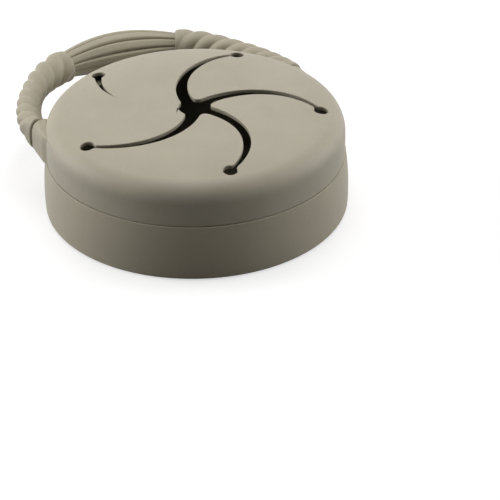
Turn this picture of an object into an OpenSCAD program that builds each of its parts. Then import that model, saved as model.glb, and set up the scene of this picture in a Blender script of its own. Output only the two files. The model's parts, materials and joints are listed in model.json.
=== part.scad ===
// Folding snack cup for a toddler, pressed flat: a cup in three tiers that fold into each other,
// a lid whose top is cut into five curved petals, and a carrying handle with two twisted arms.
// Origin: centre of the cup's foot, on the surface it stands on. +Z is up, the front is at -Y
// and the handle lies back towards +Y. Sizes are in millimetres.

/* [Cup] */
// Height of the upper tier, from the table to the seam under the lid
upper_h = 17.5; // [16:0.5:19]
// Height of the middle and lower tiers, which fold beside each other
fold_h = 27.9; // [24:0.1:32]
// Room between the folded tiers and the underside of the lid's top
fold_room = 2.2; // [1.8:0.1:4]
// Wall of the upper tier
upper_wall = 1.6; // [1.2:0.1:1.8]
// Wall of the middle tier
middle_wall = 1.1; // [0.9:0.1:1.4]
// Wall of the lower tier
lower_wall = 1.6; // [1.2:0.1:2]
// Thickness of the foot
foot_t = 2; // [1.5:0.1:3]
// Diameter of the flat foot
foot_d = 57; // [52:1:60]
// Radius of the bowed side of the lower tier
side_bow = 66; // [55:1:90]
// Radius of the edge round the foot
foot_round = 3.2; // [2:0.1:4]
// How far the upper tier stands out past the lid at the seam
seam_step = 0.2; // [0:0.1:0.5]
// How far the upper tier swells out when the cup is folded
upper_swell = 0.85; // [0.4:0.05:1]
// Height at which the upper tier swells most
swell_z = 6; // [4:0.5:8]
// Radius of the fold at the upper tier's lower edge
fold_round = 1.3; // [0.8:0.1:1.4]
// Wall of the neck that the lid is pressed over
neck_wall = 1.2; // [1:0.1:1.4]
// Gap between folded walls, and between pieces that move past each other
gap = 0.3; // [0.25:0.05:0.4]

/* [Lid] */
// Outside diameter of the lid
lid_d = 90; // [84:1:96]
// Wall of the lid's skirt
lid_wall = 1.6; // [1.3:0.1:1.8]
// Thickness of the lid's top
lid_top_t = 1.3; // [1:0.1:1.6]
// Radius of the lid's rounded shoulder
lid_round = 7; // [5:0.5:7.5]

/* [Petals] */
// Radius of the circle on which the stop holes lie
stop_r = 37.6; // [35:0.1:38]
// Diameter of a stop hole
stop_d = 4; // [3:0.1:5]
// Direction of the first stop hole, from the front towards +X
stop_turn = -7; // [-36:1:36]
// Radius of the curve that each slit follows
slit_r = 22.5; // [21.5:0.5:24]
// Width of a slit at its stop hole
slit_w = 1.3; // [1:0.1:1.8]
// Turn of each edge of a slit away from the other, in degrees
slit_spread = 2.8; // [2:0.1:3.5]
// The same turn on the slit that has nearly closed, where the edges lean together
shut_spread = -1.2; // [-1.3:0.1:2]
// Radius of the star-shaped mouth at the middle of the lid
mouth_r = 4.9; // [4:0.1:6]
// Thickness of a petal
petal_t = 1.2; // [1:0.1:1.5]
// Upward tilt of the petals, in degrees
petal_tilt = 1.6; // [0:0.1:2.5]

/* [Handle] */
// Distance of the handle's hinge line behind the middle
hinge_y = 10; // [8:0.5:12]
// Height of the tabs
tab_h = 9.8; // [8:0.1:10.4]
// Thickness of the tabs
tab_t = 2.6; // [2:0.1:3]
// Distance from the hinge line to the end of a tab
tab_l = 11; // [10:0.5:13]
// Length of the straight part of a tab, past the hinge line
tab_straight = 4.2; // [4:0.1:5]
// How far the end of a tab is set in from the lid's outside
tab_inset = 1.8; // [1:0.1:2]
// Thickness of a twisted arm where it leaves its tab
arm_start_w = 5; // [4:0.1:5.2]
// Diameter of a twisted arm halfway
arm_mid_d = 7.8; // [6.5:0.1:8.5]
// Diameter of a twisted arm where it meets the grip
arm_end_d = 9; // [8:0.1:10]
// Offset of each strand from the middle of the arm
strand_offset = 1.2; // [0.8:0.1:1.4]
// Length along the arm of one full turn of a strand
twist_pitch = 16.5; // [12:0.5:20]
// Length of the grip, end to end
grip_l = 37.4; // [34:0.2:40]
// Diameter of the grip at its ends
grip_end_d = 7.6; // [7:0.1:8.6]
// Diameter of the grip at its middle, over the ribs
grip_mid_d = 12.2; // [11:0.1:14]
// Depth of the hollow between two ribs at the middle
flute_depth = 1.1; // [0.6:0.1:1.4]
// Number of ribs round the grip
grip_ribs = 10; // [8:1:12]
// Angle at each end of the grip that its bow makes, in degrees
grip_bow = 20; // [14:1:24]
// Distance of the middle of the grip behind the middle of the cup
handle_reach = 65.5; // [62:0.5:70]
// How far the grip hangs below the middle of the tabs
grip_drop = 2.4; // [0:0.2:4]

/* [Hidden] */
$fn = 96;

petals = 5;
// The slit at the left of the back is the one that has nearly closed
shut_slit = 4;

silicone = [0.63, 0.59, 0.51];
silicone_shade = [0.57, 0.53, 0.45];

// Lid: its outside, its inside and the heights of its top
lid_out = lid_d / 2;
lid_in = lid_out - lid_wall;
lid_top_z = fold_h + fold_room + lid_top_t;
shoulder_z = lid_top_z - lid_round;

// Cup: the upper tier, its neck, and the two tiers folded inside it
upper_out = lid_out + seam_step;
upper_in = upper_out + upper_swell - upper_wall;
neck_out = lid_in - gap;
neck_in = neck_out - neck_wall;
neck_top_z = shoulder_z - gap;
middle_low = upper_in - gap;
middle_lean = (middle_low - neck_in + gap) / upper_h;
middle_top = middle_low - middle_lean * fold_h;
lower_top = middle_top - middle_wall - gap;
foot_r = foot_d / 2;

// Petals: the root of each is the chord between two stop holes
petal_step = 360 / petals;
root_x = stop_r * cos(petal_step / 2);
root_half = stop_r * sin(petal_step / 2);
root_z = lid_top_z - petal_t / 2;
slit_lean = acos(stop_r / 2 / slit_r);
stop_cut = stop_d / 2;

// Handle: the hinge line, the ends of the tabs and the curve of the right arm
handle_z = upper_h + gap + tab_h / 2;
grip_z = handle_z - grip_drop;
tab_in = lid_out + gap;
arm_x = lid_out - tab_inset;
arm_y = hinge_y + tab_l;
grip_x = grip_l / 2;
grip_r = grip_x / sin(grip_bow);
grip_y = handle_reach - grip_r * (1 - cos(grip_bow));
arm_pull_start = 10;
arm_pull_end = 15;
arm_route = [
  [arm_x, arm_y],
  [arm_x, arm_y + arm_pull_start],
  [grip_x + arm_pull_end * cos(grip_bow), grip_y - arm_pull_end * sin(grip_bow)],
  [grip_x, grip_y]
];
arm_rings = 48;
arm_sides = 18;
// Share of the arm's length over which it turns from flat to round
arm_flat = 0.2;
grip_rings = 26;
grip_sides = grip_ribs * 4;

function arc(centre, r, from, to, steps) =
  [for (i = [0:steps]) let (a = from + (to - from) * i / steps) centre + r * [cos(a), sin(a)]];

function ease(t) = let (u = min(max(t, 0), 1)) u * u * (3 - 2 * u);

// Outside of the upper tier at a height
function upper_side(z) =
  upper_out + upper_swell * (1 - pow((z - swell_z) / (upper_h - swell_z), 2));

// Outside of the lower tier at a height: a bow from the foot's rounded edge to the fold
bow_low = [foot_r + foot_round, foot_round];
bow_top = [lower_top, fold_h];
bow_chord = norm(bow_top - bow_low);
bow_mid = (bow_low + bow_top) / 2;
bow_across = [-(bow_top - bow_low)[1], (bow_top - bow_low)[0]] / bow_chord;
bow_centre = bow_mid + bow_across * sqrt(pow(side_bow, 2) - pow(bow_chord / 2, 2));
function lower_side(z) =
  bow_centre[0] + sqrt(pow(side_bow, 2) - pow(z - bow_centre[1], 2));

// The centre of the curve of a slit whose stop hole lies at an angle, with the curve turned
// about that hole
function slit_centre(a, turn) =
  let (hole = stop_r * [cos(a), sin(a)])
  let (reach = slit_r * [cos(a - slit_lean), sin(a - slit_lean)] - hole)
  hole + [
    reach[0] * cos(turn) - reach[1] * sin(turn),
    reach[0] * sin(turn) + reach[1] * cos(turn)
  ];

// The turn of the edges of a slit, counted from the first stop hole
function spread(i) = (i % petals) == shut_slit - 1 ? shut_spread : slit_spread;

// A place on the right arm's centreline, and the direction there
function arm_point(t) =
  pow(1 - t, 3) * arm_route[0] + 3 * t * pow(1 - t, 2) * arm_route[1]
  + 3 * t * t * (1 - t) * arm_route[2] + pow(t, 3) * arm_route[3];
function arm_way(t) =
  let (v = pow(1 - t, 2) * (arm_route[1] - arm_route[0])
    + 2 * t * (1 - t) * (arm_route[2] - arm_route[1])
    + t * t * (arm_route[3] - arm_route[2]))
  v / norm(v);
arm_steps = [for (i = [0:arm_rings]) arm_point(i / arm_rings)];
arm_lengths = [
  for (i = 0, s = 0; i <= arm_rings;
       s = s + (i < arm_rings ? norm(arm_steps[i + 1] - arm_steps[i]) : 0), i = i + 1) s
];

// Outline of three strands at an angle from the nearest strand's middle, on an arm of radius r
function strand_edge(a, r) =
  let (b = a - 120 * round(a / 120))
  strand_offset * cos(b) + sqrt(pow(r - strand_offset, 2) - pow(strand_offset * sin(b), 2));

// Half-sizes of an arm, across and upright, at a share of its length
function arm_r(t) =
  let (low = arm_mid_d / 2, high = arm_end_d / 2)
  low + (high - low) * ease((t - 0.5) * 2);
function arm_half(t) =
  let (k = ease(t / arm_flat))
  [arm_start_w / 2 * (1 - k) + arm_r(t) * k, tab_h / 2 * (1 - k) + arm_r(t) * k];

// Walls that join ring to ring, and the two ends, of a tube of points
function tube_faces(rings, sides) = concat(
  [for (i = [0:rings - 1], j = [0:sides - 1])
    [i * sides + j, i * sides + (j + 1) % sides, (i + 1) * sides + j]],
  [for (i = [0:rings - 1], j = [0:sides - 1])
    [i * sides + (j + 1) % sides, (i + 1) * sides + (j + 1) % sides, (i + 1) * sides + j]],
  [[for (j = [sides - 1:-1:0]) j]],
  [[for (j = [0:sides - 1]) rings * sides + j]]
);

module cup_base() {
  inner_round = foot_round;
  inner_low = foot_t + inner_round;
  side_steps = 8;
  color(silicone_shade)
    rotate_extrude()
      polygon(concat(
        [[0, 0]],
        arc([foot_r, foot_round], foot_round, -90, -8, 6),
        [for (i = [1:side_steps])
          let (z = foot_round + (fold_h - foot_round) * i / side_steps) [lower_side(z), z]],
        [for (i = [side_steps:-1:0])
          let (z = inner_low + (fold_h - inner_low) * i / side_steps)
          [lower_side(z) - lower_wall, z]],
        arc([lower_side(inner_low) - lower_wall - inner_round, inner_low],
          inner_round, -15, -90, 5),
        [[0, foot_t]]
      ));
}

module cup_middle() {
  color(silicone_shade)
    rotate_extrude()
      polygon([
        [middle_low - middle_lean * gap - middle_wall, gap],
        [middle_low - middle_lean * gap, gap],
        [middle_top, fold_h],
        [middle_top - middle_wall, fold_h]
      ]);
}

module cup_rim() {
  side_steps = 8;
  neck_round = neck_wall / 2;
  under_shoulder = (upper_in - neck_in) * 2;
  color(silicone)
    rotate_extrude()
      polygon(concat(
        [[upper_in, 0]],
        arc([upper_side(fold_round) - fold_round, fold_round], fold_round, -90, 0, 5),
        [for (i = [1:side_steps])
          let (z = fold_round + (upper_h - fold_round) * i / side_steps) [upper_side(z), z]],
        [[neck_out, upper_h]],
        arc([neck_out - neck_round, neck_top_z - neck_round], neck_round, 0, 180, 6),
        [[neck_in, upper_h], [upper_in, upper_h - under_shoulder]]
      ));
}

module stop_holes(deep) {
  for (i = [0:petals - 1])
    rotate([0, 0, stop_turn - 90 + i * petal_step])
      translate([stop_r, 0, lid_top_z - deep])
        cylinder(h = deep * 2, d = stop_d);
}

module lid_cap() {
  inner_round = lid_in - (lid_out - lid_round);
  inner_rise = lid_round - lid_top_t;
  open_r = (root_x + petal_t / 2 + gap) / cos(petal_step / 2);
  cut = lid_round;
  color(silicone)
    difference() {
      rotate_extrude()
        polygon(concat(
          [[0, lid_top_z - lid_top_t], [0, lid_top_z]],
          [for (p = arc([0, 0], 1, 90, 0, 10))
            [lid_out - lid_round + lid_round * p[0], shoulder_z + lid_round * p[1]]],
          [[lid_out, upper_h + gap], [lid_in, upper_h + gap]],
          [for (p = arc([0, 0], 1, 0, 90, 10))
            [lid_out - lid_round + inner_round * p[0], shoulder_z + inner_rise * p[1]]]
        ));
      rotate([0, 0, stop_turn - 90])
        translate([0, 0, lid_top_z - cut])
          cylinder(h = cut * 2, r = open_r, $fn = petals);
      stop_holes(cut);
    }
}

// Outline of a petal, seen from above, with its root towards +X
module petal_outline(i) {
  first = -petal_step / 2;
  last = petal_step / 2;
  difference() {
    intersection() {
      translate(slit_centre(last, spread(i + 1)))
        circle(r = slit_r - slit_w / 2);
      translate([-stop_r, -stop_r])
        square([stop_r + root_x, stop_r * 2]);
    }
    translate(slit_centre(first, -spread(i)))
      circle(r = slit_r + slit_w / 2);
    circle(r = mouth_r);
    for (a = [first, last])
      translate(stop_r * [cos(a), sin(a)])
        circle(d = stop_d);
  }
}

module petal(number) {
  i = number - 1;
  // The round root starts where the slit beside it has curved far enough inwards
  near_slit = slit_centre(-petal_step / 2, -spread(i));
  near_depth = root_x - petal_t / 2 - near_slit[0];
  root_from = near_slit[1] + sqrt(pow(slit_r + slit_w / 2, 2) - pow(near_depth, 2));
  root_to = root_half - stop_cut - slit_w;
  color(silicone)
    rotate([0, 0, stop_turn - 90 + (i + 0.5) * petal_step])
      translate([root_x, 0, root_z])
        rotate([0, petal_tilt, 0]) {
          translate([-root_x, 0, -petal_t / 2])
            linear_extrude(petal_t)
              petal_outline(i);
          translate([0, root_to, 0])
            rotate([90, 0, 0])
              cylinder(h = root_to - root_from, d = petal_t);
        }
}

// The right tab: a flat strap that lies along the lid and turns about its round end
module tab_right() {
  wide = tab_t + tab_inset + tab_l;
  color(silicone)
    intersection() {
      translate([0, 0, handle_z - tab_h])
        linear_extrude(tab_h * 2)
          polygon([
            [tab_in, hinge_y - tab_h / 2],
            [tab_in + tab_t, hinge_y - tab_h / 2],
            [tab_in + tab_t, hinge_y + tab_straight],
            [arm_x + tab_t / 2, arm_y],
            [arm_x - tab_t / 2, arm_y],
            [tab_in, hinge_y + tab_straight]
          ]);
      translate([arm_x - wide, 0, 0])
        rotate([90, 0, 90])
          linear_extrude(wide * 2) {
            translate([hinge_y, handle_z])
              circle(d = tab_h);
            translate([hinge_y, handle_z - tab_h / 2])
              square([tab_l, tab_h]);
          }
    }
}

// One arm: three strands twisted round its curved centreline, flat at the tab and round after.
// side is 1 for the right arm and -1 for the left, and both arms have the same hand of twist.
module arm(side) {
  points = [
    for (i = [0:arm_rings])
      let (t = i / arm_rings, half = arm_half(t), way = arm_way(t), r = arm_r(t))
      for (j = [0:arm_sides - 1])
        let (a = 360 * j / arm_sides)
        let (edge = strand_edge(a - side * 360 * arm_lengths[i] / twist_pitch, r) / r)
        let (out = edge * half[0] * cos(a), up = edge * half[1] * sin(a))
        [
          side * (arm_steps[i][0] + way[1] * out),
          arm_steps[i][1] - way[0] * out,
          handle_z - grip_drop * ease(t) + up
        ]
  ];
  faces = tube_faces(arm_rings, arm_sides);
  color(silicone)
    polyhedron(points, side > 0 ? faces : [for (f = faces) [for (k = [len(f) - 1:-1:0]) f[k]]]);
}

// The grip: a bowed spindle with sharp ribs and a hollow between each two
module handle_grip() {
  points = [
    for (i = [0:grip_rings])
      let (turn = grip_bow * (1 - 2 * i / grip_rings), swell = cos(90 * turn / grip_bow))
      let (r = (grip_end_d + (grip_mid_d - grip_end_d) * swell) / 2)
      let (hollow = flute_depth * swell)
      for (j = [0:grip_sides - 1])
        let (a = 360 * j / grip_sides)
        let (edge = r - hollow * abs(sin(a * grip_ribs / 2)))
        let (reach = grip_r + edge * cos(a))
        [
          reach * sin(turn),
          handle_reach - grip_r + reach * cos(turn),
          grip_z + edge * sin(a)
        ]
  ];
  color(silicone)
    polyhedron(points, tube_faces(grip_rings, grip_sides));
}

cup_base();
cup_middle();
cup_rim();
lid_cap();
petal(1);  // petal_1
petal(2);  // petal_2
petal(3);  // petal_3
petal(4);  // petal_4
petal(5);  // petal_5
mirror([1, 0, 0]) tab_right();  // handle_tab_left
tab_right();  // handle_tab_right
arm(-1);  // handle_twist_left
arm(1);  // handle_twist_right
handle_grip();
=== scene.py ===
"""Dresses the folding snack cup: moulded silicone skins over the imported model, with a studio.

Every length is in metres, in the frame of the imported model: the foot stands on z = 0 at the
origin, +Z is up and the handle lies back towards +Y.
"""

import json
import math

import bmesh
import bpy
from mathutils import Matrix, Vector

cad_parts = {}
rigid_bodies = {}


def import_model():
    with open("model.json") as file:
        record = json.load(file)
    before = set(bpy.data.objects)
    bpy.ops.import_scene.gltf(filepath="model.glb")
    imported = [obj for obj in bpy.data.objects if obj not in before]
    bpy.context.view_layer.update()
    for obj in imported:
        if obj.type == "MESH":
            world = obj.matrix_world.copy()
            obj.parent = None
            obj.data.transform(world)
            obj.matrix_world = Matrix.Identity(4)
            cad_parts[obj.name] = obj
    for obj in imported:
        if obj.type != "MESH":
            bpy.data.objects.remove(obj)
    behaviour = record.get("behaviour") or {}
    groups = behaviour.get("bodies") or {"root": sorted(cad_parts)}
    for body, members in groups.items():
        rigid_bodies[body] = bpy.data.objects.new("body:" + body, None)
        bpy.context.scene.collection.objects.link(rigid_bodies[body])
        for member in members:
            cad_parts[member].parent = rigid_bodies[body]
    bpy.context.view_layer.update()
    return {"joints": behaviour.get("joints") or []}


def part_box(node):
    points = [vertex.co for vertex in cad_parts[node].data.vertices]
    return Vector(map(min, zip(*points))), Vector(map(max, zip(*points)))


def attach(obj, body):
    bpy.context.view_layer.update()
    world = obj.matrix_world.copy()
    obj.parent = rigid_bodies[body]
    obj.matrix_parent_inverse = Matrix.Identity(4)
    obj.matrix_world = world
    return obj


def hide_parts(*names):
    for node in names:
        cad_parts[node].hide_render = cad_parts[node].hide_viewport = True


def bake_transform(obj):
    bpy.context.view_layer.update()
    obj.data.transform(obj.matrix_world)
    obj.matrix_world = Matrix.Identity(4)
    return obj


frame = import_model()

bl_info = {
    "name": "Folding snack cup",
    "version": (1, 0, 0),
    "blender": (4, 5, 0),
    "location": "View3D > Sidebar > Snack cup",
    "description": "Models a folding silicone snack cup over its packed parts",
    "category": "Add Mesh",
}

MM = 0.001
JOINTS = {joint["name"]: joint for joint in frame["joints"]}
PETALS = 5
PETAL_STEP = math.tau / PETALS
LID_LOW, LID_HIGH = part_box("lid_cap")
RIM_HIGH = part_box("cup_rim")[1]
BASE_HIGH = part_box("cup_base")[1]
MIDDLE_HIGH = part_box("cup_middle")[1]
HINGE = Vector(JOINTS["handle_swing"]["pos_m"])
GRIP_LOW, GRIP_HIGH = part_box("handle_grip")
GRIP_Z = (GRIP_LOW.z + GRIP_HIGH.z) / 2

# The roots of the petals: the middle of each is its joint's place, and the stop holes lie where
# two roots meet
ROOTS = [Vector(JOINTS[f"petal_{k + 1}_flex"]["pos_m"][:2]) for k in range(PETALS)]
ROOT_X = ROOTS[0].length
STOP_R = ROOT_X / math.cos(PETAL_STEP / 2)
FIRST_HOLE = math.atan2(ROOTS[0].y, ROOTS[0].x) - PETAL_STEP / 2
SHUT_SLIT = 3  # the slit that has nearly closed, counted from the first stop hole
RING_STEPS = 180  # faces round a spun piece
MERGE = 0.005 * MM  # points closer than this become one


def linear(code):
    """An sRGB hex colour as linear red, green and blue."""
    parts = [int(code[i:i + 2], 16) / 255 for i in (1, 3, 5)]
    return [c / 12.92 if c <= 0.04045 else ((c + 0.055) / 1.055) ** 2.4 for c in parts]


def length(name, description, default):
    """A length that a user may change."""
    return bpy.props.FloatProperty(
        name=name, description=description, default=default, unit="LENGTH", precision=5
    )


def angle(name, description, degrees):
    """An angle that a user may change."""
    return bpy.props.FloatProperty(
        name=name, description=description, default=math.radians(degrees), subtype="ANGLE"
    )


def colour(name, description, code):
    """A colour that a user may change."""
    return bpy.props.FloatVectorProperty(
        name=name, description=description, default=linear(code), subtype="COLOR"
    )


def number(name, description, default):
    """A plain number that a user may change."""
    return bpy.props.FloatProperty(name=name, description=description, default=default)


class LidSizes(bpy.types.PropertyGroup):
    """Sizes and colour of the lid and its petals."""

    radius: length("Radius", "Outside radius of the skirt", LID_HIGH.x)
    top_z: length("Top height", "Height of the top at its edge", LID_HIGH.z - 0.7 * MM)
    seam_z: length("Seam height", "Height of the skirt's lower edge", LID_LOW.z)
    wall: length("Wall", "Wall of the skirt", 1.6 * MM)
    top_t: length("Top thickness", "Thickness of the top and the petals", 1.3 * MM)
    flat_r: length("Flat radius", "Radius at which the top starts to turn down", 40.2 * MM)
    shoulder_h: length("Shoulder height", "Height of the rounded shoulder", 6.4 * MM)
    hem: length("Hem rounding", "Radius of the skirt's lower edge", 0.2 * MM)
    hem_z: length("Hem drop", "How far the hem reaches into the seam", 0.14 * MM)
    hole_d: length("Stop hole", "Diameter of the hole that ends a slit", 4.3 * MM)
    slit_r: length("Slit radius", "Radius of the curve that a slit follows", 23.1 * MM)
    slit_w: length("Slit width", "Width of a slit at its stop hole", 1.1 * MM)
    slit_open: length("Slit opening", "Width of a slit at the middle of the lid", 4.6 * MM)
    shut_w: length("Shut slit width", "Width of the nearly shut slit at its hole", 2.3 * MM)
    shut_s: length("Shut length", "Length over which the nearly shut slit closes", 18.5 * MM)
    shut_line: length("Shut line", "Width of the line left where it has closed", 0.01 * MM)
    mouth_r: length("Mouth radius", "Radius of the opening in the middle", 4.9 * MM)
    edge_round: length("Edge rounding", "Radius of the edges of slits and holes", 0.22 * MM)
    shut_round: length("Shut rounding", "The same where the nearly shut slit has closed", 0.01 * MM)
    shut_tip: length("Shut tip", "Radius of the two corners at that slit's inner end", 0.4 * MM)
    tip_round: length("Tip rounding", "Radius of the corners of a petal's tip", 0.9 * MM)
    hole_round: length("Hole rounding", "Radius where a slit runs into its hole", 0.5 * MM)
    dome: length("Dome", "How far the middle of the top stands over its edge", 1.5 * MM)
    dome_power: number("Dome flatness", "How flat the middle of the dome is, as a power", 6)
    bend_l: length("Petal bend", "Length over which a petal bends at its root", 5 * MM)
    tint: colour("Colour", "Silicone of the lid", "#B0A996")


class CupSizes(bpy.types.PropertyGroup):
    """Sizes and colour of the folded cup."""

    seam_z: length("Seam height", "Height of the upper tier", 17.5 * MM)
    seam_out: length("Seam step", "How far the upper tier stands out past the lid", 0.2 * MM)
    swell: length("Swell", "How far the upper tier swells when folded", 0.85 * MM)
    swell_z: length("Swell height", "Height at which it swells most", 6 * MM)
    fold_round: length("Fold rounding", "Radius of the upper tier's lower edge", 1.3 * MM)
    wall: length("Wall", "Wall of the upper and lower tiers", 1.6 * MM)
    neck_out: length("Neck radius", "Outside radius of the neck under the lid", 43.1 * MM)
    neck_wall: length("Neck wall", "Wall of the neck", 1.2 * MM)
    middle_wall: length("Middle wall", "Wall of the middle tier", 1.1 * MM)
    gap: length("Fold gap", "Gap between the folded tiers", 0.3 * MM)
    foot_r: length("Foot radius", "Radius of the flat foot", 28.5 * MM)
    foot_t: length("Foot thickness", "Thickness of the foot", 2 * MM)
    foot_round: length("Foot rounding", "Radius of the edge round the foot", 3.2 * MM)
    side_bow: length("Side bow", "Radius of the bowed side of the lower tier", 66 * MM)
    bead_out: length("Bead", "How far the bead of the lower tier stands out", 1.75 * MM)
    bead_h: length("Bead height", "Height of the bead round the lower tier", 1.5 * MM)
    tint: colour("Colour", "Silicone of the cup", "#AFA792")
    # painted shade: the inside of the cup is drawn in this darker copy of the silicone, standing in
    # for the shade inside the closed cup
    inside: colour("Inside", "The deeper tone that the inside is drawn in", "#6E6857")


class HandleSizes(bpy.types.PropertyGroup):
    """Sizes and colour of the handle."""

    tab_h: length("Strap height", "Height of the strap", 9.1 * MM)
    tab_out: length("Strap reach", "How far out the strap's outer face lies", 44.65 * MM)
    tab_y: length("Strap root", "Where the strap starts, inside the skirt", 2 * MM)
    tab_l: length("Strap length", "Length of the strap past the hinge line", 11.2 * MM)
    arm_x: length("Arm start", "Distance of the arm's start from the middle", 42.6 * MM)
    bulge: length("Bulge", "How far an arm bows out past its start", 0.3 * MM)
    sway: length("Sway", "How much more the left arm bows out than that", 1.3 * MM)
    start_w: length("Collar width", "Thickness of the arm's collar at the strap", 5.3 * MM)
    start_h: length("Collar height", "Height of the arm's collar at the strap", 9.4 * MM)
    flare_l: length("Collar length", "Length over which the collar turns into the arm", 7 * MM)
    mid_d: length("Arm diameter", "Diameter of the arm halfway", 7.8 * MM)
    end_d: length("Arm end diameter", "Diameter of the arm at the grip", 10.5 * MM)
    strand: length("Strand offset", "Offset of a strand from the middle of the arm", 1.05 * MM)
    pitch: length("Pitch", "Mean length of one full turn of a strand", 16.5 * MM)
    stretch: number("Stretch", "How much the pitch grows towards the grip, as a share", 0.13)
    groove_w: length("Groove width", "Width of the groove round the strap's end", 0.4 * MM)
    groove: length("Groove depth", "Depth of that groove", 0.9 * MM)
    cap_l: length("Arm end rounding", "Length over which an arm's end rounds off", 1.4 * MM)
    grip_l: length("Grip length", "Length of the grip between the arms", 37.4 * MM)
    grip_end_d: length("Grip end", "Diameter of the grip at its ends", 8.6 * MM)
    grip_mid_d: length("Grip middle", "Diameter of the grip at its middle", 12.9 * MM)
    panels: bpy.props.IntProperty(name="Panels", description="Panels round the grip", default=10)
    panel_turn: angle("Panel turn", "Turn of the first groove from the outside", 14)
    panel_h: length("Panel height", "How far a panel stands over the grooves beside it", 1.6 * MM)
    groove_power: number("Groove narrowness", "How narrow a groove is, as a power", 5)
    grip_bow: angle("Grip bow", "Angle at each end of the grip", 20)
    lean: length("Lean", "How much higher the left end of the grip lies than its middle", 0.5 * MM)
    reach: length("Reach", "Distance of the grip behind the middle of the cup", 65.3 * MM)
    tint: colour("Colour", "Silicone of the handle", "#ACA48F")


class StudioSizes(bpy.types.PropertyGroup):
    """Camera, lights and floor."""

    focal: number("Focal length", "Focal length of the camera in millimetres", 180.67)
    azimuth: angle("Azimuth", "Direction of the camera", -22)
    elevation: angle("Elevation", "Height of the camera over the horizon", 29.54)
    distance: length("Distance", "Distance of the camera", 757 * MM)
    roll: angle("Roll", "Turn of the camera about its view", -1.356)
    aim_x: number("Aim across", "Pixels from the picture's middle to the seam's centre", -54.18)
    aim_y: number("Aim down", "The same downwards", -100.23)
    top_power: number("Top light", "Power of the softbox overhead, in watts", 5.4)
    left_power: number("Left light", "Power of the softbox at the left, in watts", 5.2)
    right_power: number("Right light", "Power of the softbox at the right, in watts", 4.0)
    air: number("Ambient light", "Strength of the light all round", 0.05)
    floor: colour("Floor", "Paper of the floor as the camera sees it", "#BEBEBE")
    bounce: colour("Bounce", "The same paper as it lights the cup", "#7C7C7C")
    floor_white: number("Floor white", "White that the camera sees over the floor", 0.63)


def select_only(obj=None):
    """Leaves edit mode and selects one object, or nothing."""
    if bpy.context.mode != "OBJECT":
        bpy.ops.object.mode_set(mode="OBJECT")
    bpy.ops.object.select_all(action="DESELECT")
    if obj is not None:
        obj.select_set(True)
        bpy.context.view_layer.objects.active = obj


def edit(obj):
    """Opens an object in edit mode with everything in it selected."""
    select_only(obj)
    bpy.ops.object.mode_set(mode="EDIT")
    bpy.ops.mesh.select_all(action="SELECT")


def pick(obj, kind, test):
    """In edit mode, selects the faces or edges that pass a test."""
    bpy.ops.mesh.select_mode(type={"edges": "EDGE", "faces": "FACE"}[kind])
    bpy.ops.mesh.select_all(action="DESELECT")
    mesh = bmesh.from_edit_mesh(obj.data)
    mesh.normal_update()
    for item in getattr(mesh, kind):
        if test(item):
            item.select_set(True)
    bmesh.update_edit_mesh(obj.data)


def middle(item):
    """The middle of an edge or a face."""
    return sum((v.co for v in item.verts), Vector()) / len(item.verts)


def draw(name, points):
    """Draws an outline point by point with extrudes, and leaves it open in edit mode."""
    select_only()
    bpy.ops.mesh.primitive_plane_add(size=MM, location=(0, 0, 0))
    obj = bpy.context.object
    obj.name = obj.data.name = name
    edit(obj)
    bpy.ops.mesh.merge(type="CENTER")
    bpy.ops.mesh.select_mode(type="VERT")
    bpy.ops.mesh.select_all(action="SELECT")
    bpy.ops.transform.translate(value=points[0])
    for last, point in zip(points, points[1:]):
        bpy.ops.mesh.extrude_region_move(TRANSFORM_OT_translate={"value": point - last})
    return obj


def spin_outline(name, outline, closed=True):
    """Spins an outline of radii and heights about the cup's axis, with a vertex at each hole."""
    start = Vector((math.cos(FIRST_HOLE), math.sin(FIRST_HOLE)))
    points = [Vector((start.x * r, start.y * r, z)) for r, z in outline]
    if closed:
        points.append(points[0])
    obj = draw(name, points)
    bpy.ops.mesh.select_all(action="SELECT")
    bpy.ops.mesh.spin(steps=RING_STEPS, angle=math.tau, center=(0, 0, 0), axis=(0, 0, 1))
    bpy.ops.mesh.select_all(action="SELECT")
    bpy.ops.mesh.remove_doubles(threshold=MERGE)
    bpy.ops.mesh.normals_make_consistent(inside=False)
    return obj


def spread(start, end, steps):
    """Evenly spaced values from one to another, both included."""
    return [start + (end - start) * i / steps for i in range(steps + 1)]


def arc(centre, radius, start, end, steps):
    """Points on a circle in a plane of radius and height, between two angles in degrees."""
    turns = [math.radians(turn) for turn in spread(start, end, steps)]
    return [(centre[0] + radius * math.cos(a), centre[1] + radius * math.sin(a)) for a in turns]


def move_points(obj, place):
    """Moves each vertex of a mesh to where a rule puts it."""
    select_only(obj)
    for vertex in obj.data.vertices:
        vertex.co = place(vertex.co)
    obj.data.update()


def shape(obj, place):
    """Moves each vertex to where a rule puts it, and turns the normals outwards."""
    move_points(obj, place)
    edit(obj)
    bpy.ops.mesh.normals_make_consistent(inside=False)


def close_holes(obj):
    """Closes the open ends of a mesh, and turns its normals outwards."""
    edit(obj)
    bpy.ops.mesh.select_mode(type="EDGE")
    bpy.ops.mesh.select_all(action="DESELECT")
    bpy.ops.mesh.select_non_manifold()
    bpy.ops.mesh.fill_holes(sides=0)
    bpy.ops.mesh.select_all(action="SELECT")
    bpy.ops.mesh.normals_make_consistent(inside=False)


def finish_piece(obj, material, sharp_degrees=35):
    """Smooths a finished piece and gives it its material."""
    select_only(obj)
    bpy.ops.object.shade_smooth_by_angle(angle=math.radians(sharp_degrees))
    weigh = obj.modifiers.new("weighted_normals", "WEIGHTED_NORMAL")
    weigh.keep_sharp = True
    bpy.ops.object.modifier_apply(modifier=weigh.name)
    obj.data.materials.clear()
    obj.data.materials.append(material)


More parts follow.
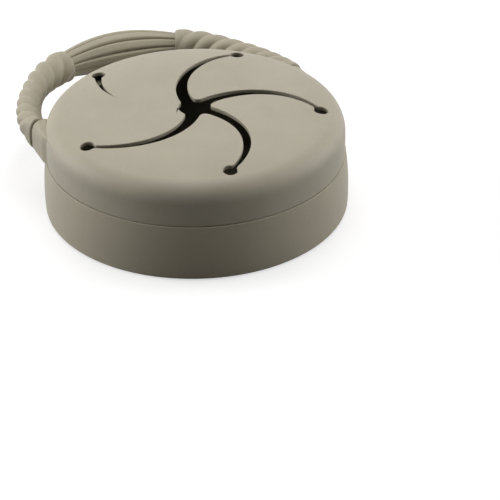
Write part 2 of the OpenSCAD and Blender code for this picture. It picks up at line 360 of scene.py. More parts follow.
def paint_shade_inside(obj, cup):
    """Paints shade on the faces that look into the cup, its floor and its inner ledges: they get a
    darker copy of the silicone, as painted shade for the dark inside of the closed cup.
    """
    # painted shade: a darker copy of the cup's silicone for the inward faces, not a tone the
    # silicone has
    obj.data.materials.append(moulded_silicone("moulded_silicone_cup_inside", cup.inside))
    level = 0.7  # height of a unit normal from which a face counts as a floor or a ledge
    for face in obj.data.polygons:
        looks_up = face.normal.z > level and face.center.xy.length < bead_radius(cup)
        if face.normal.xy.dot(face.center.xy) < 0 or looks_up:
            face.material_index = 1


def blank_tree(owner):
    """The emptied node tree of a material or a world."""
    owner.use_nodes = True
    owner.node_tree.nodes.clear()
    return owner.node_tree


def add_node(tree, kind, settings=None, *values, **named):
    """Adds a node with its settings. Values, which are sockets to link or plain values, go to its
    first inputs in their order and to the others by name."""
    node = tree.nodes.new(kind)
    for name, value in (settings or {}).items():
        setattr(node, name, value)
    by_name = {name.replace("_", " "): value for name, value in named.items()}
    for place, value in [*enumerate(values), *by_name.items()]:
        socket = node.inputs[place]
        if isinstance(value, bpy.types.NodeSocket):
            tree.links.new(value, socket)
        else:
            socket.default_value = value
    return node


def moulded_silicone(name, tint):
    """Moulded matte silicone. The broad clouds of bloom keep a large face from looking flat, the
    grain of a blasted mould spreads each highlight, and the sheen lightens the edges."""
    found = bpy.data.materials.get(name)
    if found:
        return found
    cloud_size = 14 * MM
    fleck_size = 1.1 * MM
    grain_size = 0.35 * MM  # a real grain is about 0.05 mm, drawn coarser so that it shows
    fleck_share = 0.35  # strength of the flecks beside the clouds
    material = bpy.data.materials.new(name)
    tree = blank_tree(material)
    place = add_node(tree, "ShaderNodeTexCoord").outputs["Object"]

    def noise(size, detail, roughness):
        return add_node(
            tree, "ShaderNodeTexNoise", Vector=place, Scale=1 / size, Detail=detail,
            Roughness=roughness
        ).outputs["Fac"]

    clouds = noise(cloud_size, 3, 0.55)
    flecks = noise(fleck_size, 2, 0.5)
    grain = noise(grain_size, 2, 0.6)
    bloom = add_node(
        tree, "ShaderNodeMath", {"operation": "MULTIPLY_ADD"}, flecks, fleck_share, clouds
    )
    ramp = add_node(tree, "ShaderNodeValToRGB", Fac=bloom.outputs[0])
    dark, light = ramp.color_ramp.elements
    dark.position, light.position = 0.45, 0.9
    dark.color = (*[c * 0.94 for c in tint], 1)
    light.color = (*[min(1, c * 1.05) for c in tint], 1)
    rough = add_node(tree, "ShaderNodeMapRange", Value=clouds, To_Min=0.5, To_Max=0.62)
    bump = add_node(tree, "ShaderNodeBump", Height=grain, Strength=0.12, Distance=0.02 * MM)
    shader = add_node(
        tree, "ShaderNodeBsdfPrincipled", Base_Color=ramp.outputs["Color"],
        Roughness=rough.outputs["Result"], IOR=1.41, Sheen_Weight=0.25, Sheen_Roughness=0.45,
        Normal=bump.outputs["Normal"]
    )
    add_node(tree, "ShaderNodeOutputMaterial", Surface=shader.outputs["BSDF"])
    return material


def solve(rule, low, high, steps=30):
    """Where a rule changes sign between two places."""
    sign = rule(low) > 0
    for _ in range(steps):
        half = (low + high) / 2
        if (rule(half) > 0) == sign:
            low = half
        else:
            high = half
    return (low + high) / 2


def turned(point, turn):
    """A point in plan, turned about the lid's middle."""
    return Vector((
        point.x * math.cos(turn) - point.y * math.sin(turn),
        point.x * math.sin(turn) + point.y * math.cos(turn),
    ))


def heading(vector):
    """The direction of a vector in plan."""
    return math.atan2(vector.y, vector.x)


def slit_curve(lid):
    """The arc that a slit follows in plan when its stop hole lies at angle 0: the arc's middle,
    and the angle at which it starts."""
    lean = math.acos(STOP_R / 2 / lid.slit_r)
    return Vector((math.cos(lean), -math.sin(lean))) * lid.slit_r, lean


def slit_edge(lid, side, shut):
    """One edge of a slit in plan, from its stop hole, which lies at angle 0, to the mouth."""
    centre, lean = slit_curve(lid)
    hole = Vector((STOP_R, 0))
    whole = lid.slit_r * (math.pi - 2 * lean)

    def half_width(s):
        if shut:
            return max(lid.shut_line, lid.shut_w * (1 - s / lid.shut_s)) / 2
        return (lid.slit_w + (lid.slit_open - lid.slit_w) * s / whole) / 2

    def point(s):
        turn = lean + s / lid.slit_r
        reach = lid.slit_r + side * half_width(s)
        return centre + Vector((math.cos(turn), math.sin(turn))) * reach

    start = solve(lambda s: (point(s) - hole).length - lid.hole_d / 2, 0, lid.hole_d)
    end = solve(lambda s: point(s).length - lid.mouth_r, whole / 2, whole)
    return [point(s) for s in spread(start, end, 44)]


def has_closed(lid, point):
    """Whether a point in plan lies on the stretch where the nearly shut slit has closed."""
    centre, lean = slit_curve(lid)
    arm = turned(point, -FIRST_HOLE - SHUT_SLIT * PETAL_STEP) - centre
    near, closing = 0.5 * MM, 0.75 * lid.shut_s  # from the curve, and along it from the hole
    return abs(arm.length - lid.slit_r) < near and (heading(arm) - lean) * lid.slit_r > closing


def plan_arc(centre, radius, start, end, steps):
    """Points in plan on a circle, between two angles."""
    turns = spread(start, end, steps)
    return [centre + Vector((math.cos(a), math.sin(a))) * radius for a in turns]


def join_runs(runs):
    """Joins runs of points into one closed outline. Each run comes with the radius that rounds
    the corner at its end."""
    points = []
    for k, (run, radius) in enumerate(runs):
        before = runs[k - 1][1]
        start, end = run[0], run[-1]
        kept = [p for p in run if (p - start).length >= before and (p - end).length >= radius]
        points.extend(kept)
        if radius:
            following = runs[(k + 1) % len(runs)][0]
            entry = next(p for p in following if (p - end).length >= radius)
            for t in (0.25, 0.5, 0.75):
                points.append(kept[-1] * (1 - t) ** 2 + end * 2 * t * (1 - t) + entry * t * t)
    return points


def sector(lid, k):
    """Outline in plan of one petal and the rim behind it, from one stop hole to the next."""
    far_steps, near_steps, tip_steps = 26, 14, 8
    tip_share = 2.2  # a petal's tip is at least so many times as wide as its corners' radius
    first = FIRST_HOLE + k * PETAL_STEP
    last = first + PETAL_STEP
    hole_r = lid.hole_d / 2
    holes = [Vector((math.cos(a), math.sin(a))) * STOP_R for a in (first, last)]
    near = [turned(p, first) for p in slit_edge(lid, 1, k == SHUT_SLIT)]
    far = [turned(p, last) for p in slit_edge(lid, -1, k + 1 == SHUT_SLIT)]
    ring = plan_arc(Vector((0, 0)), lid.flat_r, first, last, RING_STEPS // PETALS)
    far_start = (heading(far[0] - holes[1]) - last) % math.tau
    near_start = (heading(near[0] - holes[0]) - first) % math.tau
    around_far = plan_arc(holes[1], hole_r, last, last + far_start - math.tau, far_steps)
    around_near = plan_arc(holes[0], hole_r, first + near_start, first, near_steps)
    tip_from = heading(far[-1])
    tip_sweep = (tip_from - heading(near[-1])) % math.tau
    tip = plan_arc(Vector((0, 0)), lid.mouth_r, tip_from, tip_from - tip_sweep, tip_steps)
    tip_round = min(lid.tip_round, tip_sweep * lid.mouth_r / tip_share)
    near_round, far_round = [
        lid.shut_tip if slit == SHUT_SLIT else tip_round for slit in (k, k + 1)
    ]
    return join_runs([
        (ring, 0), (around_far, lid.hole_round), (far, far_round), (tip, near_round),
        (near[::-1], lid.hole_round), (around_near, 0),
    ])


def shoulder(lid, inset, drop, steps=18):
    """Outline of the lid's rounded shoulder, from the top to the skirt. It starts as steep as the
    dome of the top ends."""
    reach = lid.radius - lid.flat_r - inset
    height = lid.shoulder_h - drop
    slope = lid.dome * lid.dome_power / lid.flat_r
    steepest = math.radians(25)  # the start lies below this angle
    first = solve(lambda a: height / reach * math.tan(a) * (1 - math.sin(a)) / math.cos(a) - slope,
                  0, steepest)
    return [(
        lid.flat_r + reach * (math.sin(turn) - math.sin(first)) / (1 - math.sin(first)),
        lid.top_z - drop - height * (1 - math.cos(turn) / math.cos(first)),
    ) for turn in spread(first, math.radians(90), steps)]


def is_wall(face):
    """Whether a face of the lid's top stands upright."""
    return abs(face.normal.z) < 0.5


def add_lid_shell(lid):
    """The whole lid: a spun skirt, and a top of five sectors with the slits between them."""
    hem = lid.hem
    skirt_low = lid.seam_z - lid.hem_z
    inner_r = lid.radius - lid.wall
    outline = shoulder(lid, 0, 0)
    outline += arc((lid.radius - hem, skirt_low + hem), hem, 0, -90, 4)
    outline += arc((inner_r + hem, skirt_low + hem), hem, -90, -180, 3)
    outline += shoulder(lid, lid.wall, lid.top_t)[::-1]
    skirt = spin_outline("skin_lid", outline, closed=False)
    tops = []
    for k in range(PETALS):
        points = [Vector((p.x, p.y, lid.top_z)) for p in sector(lid, k)]
        face = draw(f"sector_{k + 1}", points)
        bpy.ops.mesh.select_all(action="SELECT")
        bpy.ops.mesh.edge_face_add()
        tops.append(face)
    select_only(tops[0])
    for face in tops:
        face.select_set(True)
    bpy.ops.object.join()
    top = bpy.context.object
    edit(top)
    bpy.ops.mesh.remove_doubles(threshold=MERGE)
    bpy.ops.mesh.select_all(action="SELECT")
    bpy.ops.mesh.extrude_region_move(TRANSFORM_OT_translate={"value": (0, 0, -lid.top_t)})
    on_ring = lid.flat_r - 0.05 * MM  # just inside the ring where the skirt joins
    pick(top, "faces", lambda f: is_wall(f) and all(v.co.xy.length > on_ring for v in f.verts))
    bpy.ops.mesh.delete(type="ONLY_FACE")
    round_edges(top, lid)
    select_only(skirt)
    top.select_set(True)
    bpy.ops.object.join()
    edit(skirt)
    bpy.ops.mesh.remove_doubles(threshold=MERGE)
    bpy.ops.mesh.select_all(action="SELECT")
    bpy.ops.mesh.normals_make_consistent(inside=False)
    return skirt


def dome(shell, lid):
    """Cuts the top into small faces and raises it into a low dome."""
    spacing = 3 * MM
    flat = lid.top_z - lid.top_t - 0.1 * MM  # all of the top lies above this
    lines = int(lid.flat_r / spacing)
    for across in (Vector((1, 0, 0)), Vector((0, 1, 0))):
        for k in range(-lines, lines + 1):
            pick(shell, "faces", lambda f: min(v.co.z for v in f.verts) > flat
                 and middle(f).xy.length < lid.flat_r)
            bpy.ops.mesh.bisect(plane_co=across * (k + 0.5) * spacing, plane_no=across)

    def raised(co):
        share = co.xy.length / lid.flat_r
        if share > 1 or co.z < flat:
            return co
        return Vector((co.x, co.y, co.z + lid.dome * (1 - share ** lid.dome_power)))

    move_points(shell, raised)
    edit(shell)


def round_edges(top, lid):
    """Rounds the upper and lower edges of the slits and holes, less where a slit has closed."""
    def is_edge(e):
        return len(e.link_faces) == 2 and len({is_wall(f) for f in e.link_faces}) == 2

    pick(top, "edges", is_edge)
    bpy.ops.transform.edge_bevelweight(value=1)
    pick(top, "edges", lambda e: is_edge(e) and has_closed(lid, middle(e).xy))
    bpy.ops.transform.edge_bevelweight(value=lid.shut_round / lid.edge_round - 1)
    select_only(top)
    rounding = top.modifiers.new("rounding", "BEVEL")
    rounding.width = lid.edge_round
    rounding.segments = 3
    rounding.limit_method = "WEIGHT"
    rounding.use_clamp_overlap = False
    bpy.ops.object.modifier_apply(modifier=rounding.name)


def cut_roots(shell):
    """Cuts the petals free along their roots, and closes the cuts."""
    flat = LID_HIGH.z - 2 * MM  # all of the top near the petals lies above this
    around = STOP_R + 3 * MM
    for root in ROOTS:
        out = root.normalized()
        pick(shell, "faces", lambda f: middle(f).xy.length < around and middle(f).z > flat)
        bpy.ops.mesh.bisect(plane_co=(root.x, root.y, 0), plane_no=(out.x, out.y, 0))
    inside = 0.001 * MM
    pick(shell, "faces", lambda f: middle(f).z > flat and all(
        middle(f).xy.dot(root.normalized()) < ROOT_X - inside for root in ROOTS))
    bpy.ops.mesh.separate(type="SELECTED")
    select_only()
    loose = next(o for o in bpy.data.objects if o.name.startswith(shell.name + "."))
    select_only(loose)
    bpy.ops.mesh.separate(type="LOOSE")
    petals = list(bpy.context.selected_objects)
    for piece in [shell, *petals]:
        close_holes(piece)
    select_only()
    return petals


class SNACKCUP_OT_lid(bpy.types.Operator):
    """Models the lid and cuts its top into petals"""

    bl_idname = "snackcup.lid"
    bl_label = "Lid"

    def execute(self, context):
        lid = context.scene.snackcup_lid
        shell = add_lid_shell(lid)
        dome(shell, lid)
        petals = cut_roots(shell)
        if len(petals) != PETALS:
            raise RuntimeError(f"the top was cut into {len(petals)} petals, not {PETALS}")
        for piece in petals:
            where = sum((v.co.xy for v in piece.data.vertices), Vector((0, 0)))
            nearest = max(range(PETALS), key=lambda k: where.dot(ROOTS[k].normalized()))
            piece.name = piece.data.name = f"skin_petal_{nearest + 1}"
        finish_piece(shell, moulded_silicone("moulded_silicone_lid", lid.tint))
        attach(shell, "lid")
        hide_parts("lid_cap")
        return {"FINISHED"}


class SNACKCUP_OT_petals(bpy.types.Operator):
    """Cuts each petal into strips, narrow ones near its root where a petal bends"""

    bl_idname = "snackcup.petals"
    bl_label = "Petals"

    def execute(self, context):
        lid = context.scene.snackcup_lid
        material = moulded_silicone("moulded_silicone_lid", lid.tint)
        near_strips, near_step = 14, 0.5 * MM  # narrow strips where the petal bends
        far_strips, far_step = 16, 1.8 * MM  # and wider ones towards its tip
        for k, root in enumerate(ROOTS):
            piece = bpy.data.objects[f"skin_petal_{k + 1}"]
            out = root.normalized()
            edit(piece)
            depths = [near_step * (i + 1) for i in range(near_strips)]
            depths += [depths[-1] + far_step * (i + 1) for i in range(far_strips)]
            for depth in depths:
                bpy.ops.mesh.select_all(action="SELECT")
                at = root - out * depth
                bpy.ops.mesh.bisect(plane_co=(at.x, at.y, 0), plane_no=(out.x, out.y, 0))
            finish_piece(piece, material)
            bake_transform(piece)
            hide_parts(f"petal_{k + 1}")
        return {"FINISHED"}


def upper_side(cup, lid, z):
    """Outside radius of the upper tier at a height."""
    share = (z - cup.swell_z) / (cup.seam_z - cup.swell_z)
    return lid.radius + cup.seam_out + cup.swell * (1 - share * share)


def lower_side(cup, z):
    """Outside radius of the lower tier at a height: a bow from the foot to the fold."""
    low = Vector((cup.foot_r + cup.foot_round, cup.foot_round))
    high = Vector((BASE_HIGH.x, BASE_HIGH.z))
    chord = high - low
    across = Vector((-chord.y, chord.x)).normalized()
    centre = (low + high) / 2 + across * math.sqrt(cup.side_bow ** 2 - (chord.length / 2) ** 2)
    return centre.x + math.sqrt(cup.side_bow ** 2 - (z - centre.y) ** 2)


def upper_inner(cup, lid):
    """Inside radius of the upper tier where it swells most."""
    return lid.radius + cup.seam_out + cup.swell - cup.wall


def bead_radius(cup):
    """Radius at which the middle of the lower tier's bead lies."""
    return BASE_HIGH.x + cup.bead_out - cup.bead_h / 2


class SNACKCUP_OT_cup(bpy.types.Operator):
    """Models the three tiers of the folded cup"""

    bl_idname = "snackcup.cup"
    bl_label = "Cup"

    def execute(self, context):
        cup = context.scene.snackcup_cup
        lid = context.scene.snackcup_lid
        material = moulded_silicone("moulded_silicone_cup", cup.tint)
        self.add_rim(cup, lid, material)
        self.add_middle(cup, lid, material)
        self.add_base(cup, material)
        return {"FINISHED"}

    def add_rim(self, cup, lid, material):
        """The upper tier, with its fold below and the neck above."""
        inner = upper_inner(cup, lid)
        fold = cup.fold_round
        seam_round, lip_round, fillet = 0.35 * MM, 0.2 * MM, 0.3 * MM
        neck_top = RIM_HIGH.z
        neck_round = cup.neck_wall / 2
        neck_in = cup.neck_out - cup.neck_wall
        high = cup.seam_z - seam_round
        fold_out = upper_side(cup, lid, fold) - fold
        outline = arc((inner + lip_round, lip_round), lip_round, 180, 270, 3)
        outline += arc((fold_out, fold), fold, -90, 0, 8)
        outline += [(upper_side(cup, lid, z), z) for z in spread(fold, high, 16)[1:]]
        top_out = upper_side(cup, lid, high) - seam_round
        outline += arc((top_out, high), seam_round, 0, 90, 4)[1:]
        outline += arc((cup.neck_out + fillet, cup.seam_z + fillet), fillet, -90, -180, 3)
        outline += arc((cup.neck_out - neck_round, neck_top - neck_round), neck_round, 0, 180, 10)
        shelf_z = cup.seam_z - 2 * (inner - neck_in)  # a steep cone carries the neck
        outline += [(neck_in, cup.seam_z), (inner, shelf_z)]
        rim = spin_outline("skin_cup_upper", outline)
        finish_piece(rim, material)
        paint_shade_inside(rim, cup)
        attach(rim, "rim")
        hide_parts("cup_rim")

    def add_middle(self, cup, lid, material):
        """The middle tier, a cone that turns inside out between the lower and upper tiers."""
        lip_low, lip_high, side_low = 0.25 * MM, 0.9 * MM, 1.3 * MM
        lip_sunk = 0.3 * MM  # how far the lip reaches into the upper tier's wall
        below_top = 0.35 * MM  # how far the cone ends below the top of the lower tier
        low_r = MIDDLE_HIGH.x
        top_r = BASE_HIGH.x + cup.gap + cup.middle_wall
        top_z = BASE_HIGH.z - below_top
        lip_out = upper_inner(cup, lid) + lip_sunk
        outline = [(low_r - cup.middle_wall, lip_low), (lip_out, lip_low),
                   (lip_out, lip_high), (low_r, side_low)]
        slope = (low_r - top_r) / top_z
        heights = spread(side_low, top_z, 40)[1:]
        outline += [(low_r - slope * z, z) for z in heights]
        outline += [(low_r - slope * z - cup.middle_wall, z) for z in heights[::-1]]
        tier = spin_outline("skin_cup_middle", outline)
        finish_piece(tier, material)
        paint_shade_inside(tier, cup)
        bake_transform(tier)
        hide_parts("cup_middle")

    def add_base(self, cup, material):
        """The lower tier, with its flat foot below and a bead at its top."""
        foot, round_r = cup.foot_r, cup.foot_round
        bead = cup.bead_h / 2
        side_top = BASE_HIGH.z - 2.2 * cup.bead_h  # where the side runs into the bead
        side_steps = 18
        edge_round, inner_drop = 0.4 * MM, 1 * MM
        inner_low = cup.foot_t + round_r
        inner_r = lower_side(cup, inner_low) - cup.wall
        outline = [(0, 0)]
        outline += arc((foot, round_r), round_r, -90, -8, 8)
        outline += [(lower_side(cup, z), z) for z in spread(round_r, side_top, side_steps)[1:]]
        outline += arc((bead_radius(cup), BASE_HIGH.z - bead), bead, -60, 90, 9)
        top_in = BASE_HIGH.x - cup.wall
        outline += arc((top_in + edge_round, BASE_HIGH.z - edge_round), edge_round, 90, 180, 4)
        outline += [(lower_side(cup, z) - cup.wall, z)
                    for z in spread(BASE_HIGH.z - inner_drop, inner_low, side_steps)]
        outline += arc((inner_r - round_r, inner_low), round_r, -15, -90, 6)
        outline += [(0, cup.foot_t)]
        base = spin_outline("skin_cup_lower", outline)
        finish_piece(base, material)
        paint_shade_inside(base, cup)
        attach(base, "base")
        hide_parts("cup_base")


def ease(t):
    """A smooth step from 0 to 1."""
    t = min(max(t, 0), 1)
    return t * t * (3 - 2 * t)


def grip_end(handle):
    """Where the right end of the grip lies, in plan, and the radius of its bow."""
    half = handle.grip_l / 2
    bow_r = half / math.sin(handle.grip_bow)
    return Vector((half, handle.reach - bow_r * (1 - math.cos(handle.grip_bow)))), bow_r


def arm_route(handle, side, steps=200):
    """Points and lengths along the middle of an arm, in plan, as if it were the right one. The
    left arm of the soft handle bows out more than the right one does."""
    end, _ = grip_end(handle)
    start = Vector((handle.arm_x, HINGE.y + handle.tab_l))
    pull_start, pull_end = 10 * MM, 17 * MM
    way = Vector((math.cos(handle.grip_bow), -math.sin(handle.grip_bow)))
    pull = Vector((handle.bulge - side * handle.sway, pull_start))
    corners = [start, start + pull, end + way * pull_end, end]
    points = []
    for t in spread(0, 1, steps):
        weights = ((1 - t) ** 3, 3 * t * (1 - t) ** 2, 3 * t * t * (1 - t), t ** 3)
        points.append(sum((c * w for c, w in zip(corners, weights)), Vector((0, 0))))
    lengths = [0]
    for a, b in zip(points, points[1:]):
        lengths.append(lengths[-1] + (b - a).length)
    return points, lengths


def arch(turn, across, up, top_power, foot_power):
    """A point on a section that is round above its middle and boxy below."""
    power = 2 / (top_power if math.sin(turn) > 0 else foot_power)
    return Vector((
        math.copysign(across * abs(math.cos(turn)) ** power, math.cos(turn)),
        math.copysign(up * abs(math.sin(turn)) ** power, math.sin(turn)),
    ))


def add_rod(name, around, stations):
    """A plain rod for a piece that is shaped along its length, with a ring at each station."""
    count = len(stations) - 1
    select_only()
    bpy.ops.mesh.primitive_cylinder_add(
        vertices=around, radius=1, depth=2, location=(0, 0, 0), end_fill_type="NGON"
    )
    rod = bpy.context.object
    rod.name = rod.data.name = name
    edit(rod)
    for i in range(1, count):
        bpy.ops.mesh.select_all(action="SELECT")
        bpy.ops.mesh.bisect(plane_co=(0, 0, -1 + 2 * i / count), plane_no=(0, 0, 1))
    move_points(rod, lambda co: Vector((co.x, co.y, stations[round((co.z + 1) / 2 * count)])))
    return rod


def add_arm(handle, lid, side):
    """A twisted arm: an outline of three strands, screwed along and bent along its route. It
    starts as a plain collar at the strap and ends round at the grip. Both arms have the same hand
    of twist."""
    points, lengths = arm_route(handle, side)
    whole = lengths[-1]
    around, along = 72, 200
    low_r, high_r = handle.mid_d / 2, handle.end_d / 2
    start_z = lid.seam_z + handle.start_h / 2
    lobes_in, lobes_out = 5 * MM, 6 * MM  # lengths over which the strands rise and sink again
    lobes_left = 0.35  # how much of their relief is left at the grip
    collar_round = 0.4 * MM
    collar_top, collar_foot = 2, 5  # powers of the collar's section
    end_share = 0.86  # size of the very end of the arm
    select_only()
    bpy.ops.mesh.primitive_circle_add(vertices=around, radius=low_r, location=(0, 0, 0))
    arm = bpy.context.object
    arm.name = arm.data.name = f"skin_twist_{'right' if side > 0 else 'left'}"

    def lobed(co):
        turn = math.atan2(co.y, co.x)
        near = math.remainder(turn, math.radians(120))
        s = handle.strand
        reach = s * math.cos(near) + math.sqrt((low_r - s) ** 2 - (s * math.sin(near)) ** 2)
        return Vector((math.cos(turn), math.sin(turn), 0)) * reach

    move_points(arm, lobed)
    screw = arm.modifiers.new("lay", "SCREW")
    screw.axis = "Z"
    screw.angle = side * math.tau * whole / handle.pitch
    screw.screw_offset = whole
    screw.steps = screw.render_steps = along
    screw.use_smooth_shade = True
    bpy.ops.object.modifier_apply(modifier=screw.name)
    edit(arm)
    bpy.ops.mesh.remove_doubles(threshold=MERGE)
    close_holes(arm)

    def section(co, s):
        turn = math.atan2(co.y, co.x)
        grow = (low_r + (high_r - low_r) * ease(2 * s / whole - 1)) / low_r
        lobes = ease(s / lobes_in)
        lobes *= 1 - (1 - lobes_left) * ease(1 - (whole - s) / lobes_out)
        reach = (low_r + (co.xy.length - low_r) * lobes) * grow
        flare = 1 - ease(s / handle.flare_l)
        spot = Vector((math.cos(turn), math.sin(turn))) * reach * (1 - flare)
        spot += arch(turn, handle.start_w / 2, handle.start_h / 2,
                     collar_top, collar_foot) * flare
        if s < collar_round:
            spot *= 1 - collar_round * (1 - s / collar_round) / (handle.start_w / 2)
        if whole - s < handle.cap_l:
            cap = (whole - s) / handle.cap_l
            spot *= end_share + (1 - end_share) * math.sqrt(max(0, 1 - (1 - cap) ** 2))
        return spot

    def placed(co):
        u = min(max(co.z / whole, 0), 1)
        s = whole * (u + handle.stretch * (u * u - u))
        k = max(i for i in range(len(points) - 1) if lengths[i] <= s)
        share = (s - lengths[k]) / (lengths[k + 1] - lengths[k])
        at = points[k] + (points[k + 1] - points[k]) * share
        before, after = points[max(k - 1, 0)], points[min(k + 2, len(points) - 1)]
        way = (after - before).normalized()
        spot = section(co, s)
        across = at + Vector((way.y, -way.x)) * spot.x
        along_share = (k + share) / (len(points) - 1)
        middle_z = start_z + (GRIP_Z - side * handle.lean - start_z) * ease(along_share)
        return Vector((side * across.x, across.y, middle_z + spot.y))

    shape(arm, placed)
    return arm


def add_grip(handle):
    """The grip: a bowed spindle of flat panels with a narrow groove between each two."""
    steps_per_panel, along = 16, 56
    crowding = 0.8  # how much closer the points lie at the grooves
    end_share = 0.5  # depth of a groove at the grip's ends, as a share of its full depth
    sunk = 2.4 * MM  # how far the grip reaches into each arm
    _, bow_r = grip_end(handle)
    half = bow_r * handle.grip_bow + sunk
    grip = add_rod("skin_grip", handle.panels * steps_per_panel, spread(-half, half, along))
    step = math.tau / handle.panels

    def placed(co):
        turn = math.atan2(co.y, co.x)
        turn -= crowding * math.sin(handle.panels * turn) / handle.panels
        lie = co.z / bow_r
        swell = math.cos(math.radians(90) * min(abs(lie) / handle.grip_bow, 1))
        r = (handle.grip_end_d + (handle.grip_mid_d - handle.grip_end_d) * swell) / 2
        off = step / 2 - abs(math.remainder(turn, step))
        flat = r * math.cos(step / 2) / math.cos(off)
        sunk_share = (off / (step / 2)) ** handle.groove_power
        edge = flat - handle.panel_h * (end_share + (1 - end_share) * swell) * sunk_share
        turn += handle.panel_turn
        reach = bow_r + edge * math.cos(turn)
        return Vector((
            reach * math.sin(lie),
            handle.reach - bow_r + reach * math.cos(lie),
            GRIP_Z + edge * math.sin(turn) - handle.lean * lie / handle.grip_bow,
        ))

    shape(grip, placed)
    return grip


def add_strap(handle, lid, side):
    """The strap: a bar that leaves the lid's skirt at a tangent, fills the wedge between the two,
    and is drawn in where the arm's collar starts."""
    around, along = 64, 36
    leave = 2 * MM  # half the length over which the outer face leaves the skirt
    root_sunk = 0.15 * MM  # how deep in the skirt that face starts
    step_l, overlap = 0.06 * MM, 1.5 * MM  # length of the step in, and reach into the collar
    outer_power, inner_power, foot_power = 2.2, 8, 14  # how boxy the section is on each side
    end_y = HINGE.y + handle.tab_l
    neck_y = end_y - handle.groove_w
    stations = spread(handle.tab_y, neck_y, along) + [neck_y + step_l, end_y + overlap]
    strap = add_rod(f"skin_strap_{'right' if side > 0 else 'left'}", around, stations)

    def placed(co):
        y = co.z
        skirt = math.sqrt(lid.radius ** 2 - y * y)
        root = skirt - root_sunk
        outer = root + (handle.tab_out - root) * ease((y - HINGE.y + leave) / (2 * leave))
        inner = skirt - lid.wall / 2
        drawn = handle.groove if y > neck_y + step_l / 2 else 0
        spot = arch(math.atan2(co.y, co.x), (outer - inner) / 2 - drawn, handle.tab_h / 2 - drawn,
                    outer_power if co.x > 0 else inner_power, foot_power)
        return Vector((side * ((outer + inner) / 2 + spot.x), y,
                       lid.seam_z + handle.tab_h / 2 + spot.y))

    shape(strap, placed)
    return strap


class SNACKCUP_OT_handle(bpy.types.Operator):
    """Models the straps, the twisted arms and the panelled grip"""

    bl_idname = "snackcup.handle"
    bl_label = "Handle"

    def execute(self, context):
        handle = context.scene.snackcup_handle
        lid = context.scene.snackcup_lid
        material = moulded_silicone("moulded_silicone_handle", handle.tint)
        for side, word in ((-1, "left"), (1, "right")):
            strap = add_strap(handle, lid, side)
            finish_piece(strap, material, 50)
            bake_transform(strap)
            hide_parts(f"handle_tab_{word}")
            arm = add_arm(handle, lid, side)
            finish_piece(arm, material, 60)
            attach(arm, "handle")
            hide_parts(f"handle_twist_{word}")
        grip = add_grip(handle)
        finish_piece(grip, material, 60)
        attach(grip, "handle")
        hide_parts("handle_grip")
        return {"FINISHED"}


def add_softbox(name, power, size, azimuth, elevation):
    """A square soft light that faces the cup."""
    distance = 0.9
    at = Vector((
        math.sin(azimuth) * math.cos(elevation),
        -math.cos(azimuth) * math.cos(elevation),
        math.sin(elevation),
    ))
    select_only()
    bpy.ops.object.light_add(type="AREA", location=at * distance)
    lamp = bpy.context.object
    lamp.name = name
    lamp.data.size = size
    lamp.data.energy = power
    lamp.rotation_euler = at.to_track_quat("Z", "Y").to_euler()


def white_to_camera(tree):
    """A socket that is 1 where the camera looks, straight or through gloss or glass."""
    path = add_node(tree, "ShaderNodeLightPath")
    seen = path.outputs["Is Camera Ray"]
    for ray in ("Is Glossy Ray", "Is Transmission Ray"):
        both = add_node(
            tree, "ShaderNodeMath", {"operation": "MAXIMUM"}, seen, path.outputs[ray]
        )
        seen = both.outputs[0]
    return seen


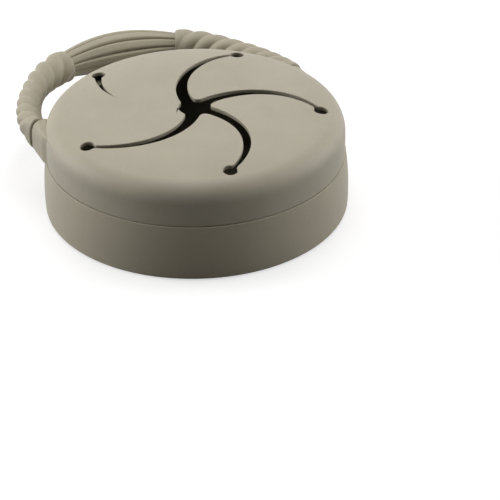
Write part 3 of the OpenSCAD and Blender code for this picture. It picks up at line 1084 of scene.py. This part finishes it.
class SNACKCUP_OT_studio(bpy.types.Operator):
    """Sets up the floor, the lights and the camera"""

    bl_idname = "snackcup.studio"
    bl_label = "Studio"

    def execute(self, context):
        studio = context.scene.snackcup_studio
        self.add_floor(studio)
        self.add_lights(context.scene, studio)
        self.add_camera(context.scene, studio)
        context.scene.view_settings.view_transform = "Standard"
        return {"FINISHED"}

    def add_floor(self, studio):
        """Plain paper that the camera sees as white, with the cup's shadow on it."""
        select_only()
        bpy.ops.mesh.primitive_plane_add(size=6, location=(0, 0, 0))
        floor = bpy.context.object
        floor.name = "floor"
        material = bpy.data.materials.new("matte_paper_floor")
        tree = blank_tree(material)
        seen = white_to_camera(tree)
        seen_paper = add_node(tree, "ShaderNodeBsdfDiffuse", Color=(*studio.floor, 1))
        unseen_paper = add_node(tree, "ShaderNodeBsdfDiffuse", Color=(*studio.bounce, 1))
        paper = add_node(tree, "ShaderNodeMixShader", None, seen, unseen_paper.outputs[0],
                         seen_paper.outputs[0])
        strength = add_node(
            tree, "ShaderNodeMath", {"operation": "MULTIPLY"}, seen, studio.floor_white
        )
        white = add_node(tree, "ShaderNodeEmission", Strength=strength.outputs[0])
        both = add_node(tree, "ShaderNodeAddShader", None, paper.outputs[0], white.outputs[0])
        add_node(tree, "ShaderNodeOutputMaterial", Surface=both.outputs[0])
        floor.data.materials.append(material)

    def add_lights(self, scene, studio):
        """A softbox overhead and one at each side, and a dim white world. A softbox's size is in
        metres, and its turn from the camera and its elevation are in degrees."""
        for name, power, size, turn, elevation in (
            ("top_softbox", studio.top_power, 0.7, 180, 80),
            ("left_softbox", studio.left_power, 0.5, -100, 16),
            ("right_softbox", studio.right_power, 0.5, 100, 16),
        ):
            add_softbox(name, power, size, studio.azimuth + math.radians(turn),
                        math.radians(elevation))
        world = bpy.data.worlds.new("studio_air")
        scene.world = world
        tree = blank_tree(world)
        air = add_node(tree, "ShaderNodeBackground", Color=(1, 1, 1, 1), Strength=studio.air)
        white = add_node(tree, "ShaderNodeBackground", Color=(1, 1, 1, 1), Strength=1.0)
        both = add_node(tree, "ShaderNodeMixShader", None, white_to_camera(tree), air.outputs[0],
                        white.outputs[0])
        add_node(tree, "ShaderNodeOutputWorld", Surface=both.outputs[0])

    def add_camera(self, scene, studio):
        """The photograph's camera: it looks past the cup, which lies up and left of the middle."""
        sensor, pixels = 36, 500  # width of the sensor in millimetres, and of the picture
        a, e = studio.azimuth, studio.elevation
        back = Vector((math.sin(a) * math.cos(e), -math.cos(a) * math.cos(e), math.sin(e)))
        target = Vector((0, 0, scene.snackcup_cup.seam_z))
        focal_px = studio.focal / sensor * pixels
        seen_at = Vector((studio.aim_x / focal_px, -studio.aim_y / focal_px, -1)).normalized()
        aim = seen_at.rotation_difference(Vector((0, 0, -1))).to_matrix()
        look = back.to_track_quat("Z", "Y").to_matrix()
        select_only()
        bpy.ops.object.camera_add(location=target + back * studio.distance)
        camera = bpy.context.object
        camera.name = "photo_camera"
        camera.data.lens = studio.focal
        camera.data.sensor_width = sensor
        turn = look @ Matrix.Rotation(studio.roll, 3, "Z") @ aim
        camera.rotation_euler = turn.to_euler()
        camera.data.clip_start, camera.data.clip_end = 0.05, 20
        scene.camera = camera


class SNACKCUP_PT_panel(bpy.types.Panel):
    """Lists the snack cup's operators with their sizes"""

    bl_idname = "SNACKCUP_PT_panel"
    bl_label = "Snack cup"
    bl_space_type = "VIEW_3D"
    bl_region_type = "UI"
    bl_category = "Snack cup"

    def draw(self, context):
        for group, (_, operators) in GROUPS.items():
            for operator in operators:
                self.layout.operator(operator.bl_idname)
            sizes = getattr(context.scene, group)
            for name in sizes.__annotations__:
                self.layout.prop(sizes, name)


# Each group of sizes on the scene, with the operators that read it
GROUPS = {
    "snackcup_lid": (LidSizes, (SNACKCUP_OT_lid, SNACKCUP_OT_petals)),
    "snackcup_cup": (CupSizes, (SNACKCUP_OT_cup,)),
    "snackcup_handle": (HandleSizes, (SNACKCUP_OT_handle,)),
    "snackcup_studio": (StudioSizes, (SNACKCUP_OT_studio,)),
}
CLASSES = [item for sizes, operators in GROUPS.values() for item in (sizes, *operators)]
CLASSES.append(SNACKCUP_PT_panel)


def register():
    """Registers the classes, and hangs the sizes on the scene."""
    for item in CLASSES:
        bpy.utils.register_class(item)
    for name, (sizes, _) in GROUPS.items():
        setattr(bpy.types.Scene, name, bpy.props.PointerProperty(type=sizes))


def unregister():
    """Takes the sizes off the scene and unregisters the classes."""
    for name in GROUPS:
        delattr(bpy.types.Scene, name)
    for item in reversed(CLASSES):
        bpy.utils.unregister_class(item)


def main():
    """Makes every piece in order."""
    register()
    bpy.ops.snackcup.studio()
    bpy.ops.snackcup.lid()
    bpy.ops.snackcup.petals()
    bpy.ops.snackcup.cup()
    bpy.ops.snackcup.handle()
    select_only()


if __name__ == "__main__":
    main()
